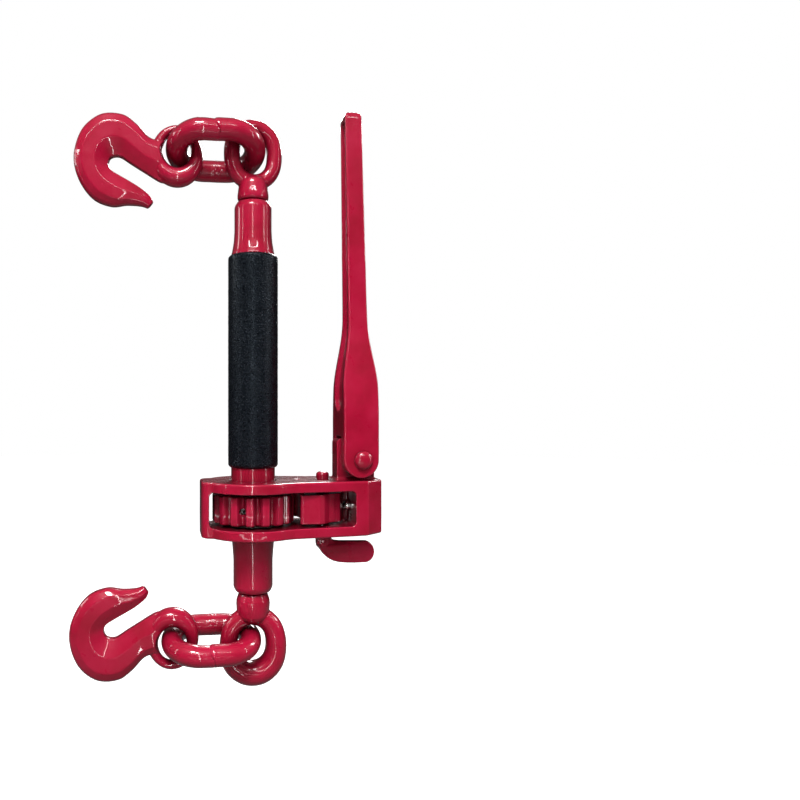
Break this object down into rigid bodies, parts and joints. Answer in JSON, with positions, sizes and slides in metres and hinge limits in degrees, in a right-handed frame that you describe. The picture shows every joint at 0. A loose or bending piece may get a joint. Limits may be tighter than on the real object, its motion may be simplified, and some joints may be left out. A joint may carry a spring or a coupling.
{
  "type": "ratchet load binder",
  "caption": "Ratchet load binder for tie-down chain: threaded barrel with a grip sleeve, ratchet head with a folding handle, and a link and grab hook at each end.",
  "frame": {"origin": "middle of the object's bounding box, with the handle up and both eyebolts screwed in; the barrel's axis stands 18.2 mm towards +X from it and the middle of the ratchet gear 79.25 mm below it", "axes": "+Z along the barrel towards the end that the unfolded handle points to, +X from the barrel towards the handle's pivot, +Y square to both"},
  "size_m": [0.2244, 0.07, 0.4175],
  "materials": {
    "red_enamel": "glossy dipped enamel",
    "black_sleeve": "satin, fine pebble grain",
    "bright_steel": "polished",
    "plain_steel": "satin, oiled"
  },
  "bodies": {
    "thrust_washers": {"upper_thrust_washer": "plain_steel", "lower_thrust_washer": "plain_steel"},
    "barrel": {"barrel": "red_enamel", "grip_sleeve": "black_sleeve", "ratchet_gear": "red_enamel", "gear_roll_pin": "plain_steel"},
    "housing": {"housing": "red_enamel", "handle_pin": "red_enamel", "detent_set_screw": "plain_steel", "detent_spring": "plain_steel"},
    "handle": {"handle": "red_enamel"},
    "pawl": {"pawl": "red_enamel", "pawl_roll_pin": "plain_steel", "selector_lever": "red_enamel"},
    "detent": {"detent_plunger": "bright_steel"},
    "upper_eyebolt": {"upper_eyebolt": "red_enamel"},
    "upper_link": {"upper_link": "red_enamel"},
    "upper_hook": {"upper_hook": "red_enamel"},
    "lower_eyebolt": {"lower_eyebolt": "red_enamel"},
    "lower_link": {"lower_link": "red_enamel"},
    "lower_hook": {"lower_hook": "red_enamel"}
  },
  "joints": [
    {"name": "housing_swing", "type": "hinge", "parent": "thrust_washers", "child": "housing", "pos_m": [0.0182, 0, -0.07925], "axis": [0, 0, 1], "range_deg": [-112.5, 112.5]},
    {"name": "barrel_turn", "type": "hinge", "parent": "thrust_washers", "child": "barrel", "pos_m": [0.0182, 0, -0.07925], "axis": [0, 0, 1], "range_deg": [0, 7200]},
    {"name": "upper_screw", "type": "slide", "parent": "thrust_washers", "child": "upper_eyebolt", "axis": [0, 0, 1], "range_m": [0, 0.1]},
    {"name": "lower_screw", "type": "slide", "parent": "thrust_washers", "child": "lower_eyebolt", "axis": [0, 0, -1], "range_m": [0, 0.1]},
    {"name": "handle_fold", "type": "hinge", "parent": "housing", "child": "handle", "pos_m": [0.0954, 0, -0.04475], "axis": [0, 1, 0], "range_deg": [0, 90]},
    {"name": "selector_turn", "type": "hinge", "parent": "housing", "child": "pawl", "pos_m": [0.0697, 0, -0.07925], "axis": [0, 0, 1], "range_deg": [-22, 22]},
    {"name": "detent_slide", "type": "slide", "parent": "housing", "child": "detent", "axis": [1, 0, 0], "range_m": [-0.0007, 0]},
    {"name": "upper_link_swing", "type": "hinge", "parent": "upper_eyebolt", "child": "upper_link", "pos_m": [0.0195, 0, 0.17825], "axis": [0, 1, 0], "range_deg": [-15, 90]},
    {"name": "upper_hook_swing", "type": "hinge", "parent": "upper_link", "child": "upper_hook", "pos_m": [-0.0371, 0, 0.17825], "axis": [0, 1, 0], "range_deg": [-45, 55]},
    {"name": "lower_link_swing", "type": "hinge", "parent": "lower_eyebolt", "child": "lower_link", "pos_m": [0.0163, 0, -0.17455], "axis": [0, 1, 0], "range_deg": [-90, 15]},
    {"name": "lower_hook_swing", "type": "hinge", "parent": "lower_link", "child": "lower_hook", "pos_m": [-0.0403, 0, -0.17455], "axis": [0, 1, 0], "range_deg": [-55, 45]}
  ],
  "couplings": [
    {"joint": "upper_screw", "follows": "barrel_turn", "m_per_rad": 0.00079577},
    {"joint": "lower_screw", "follows": "barrel_turn", "m_per_rad": 0.00079577}
  ]
}
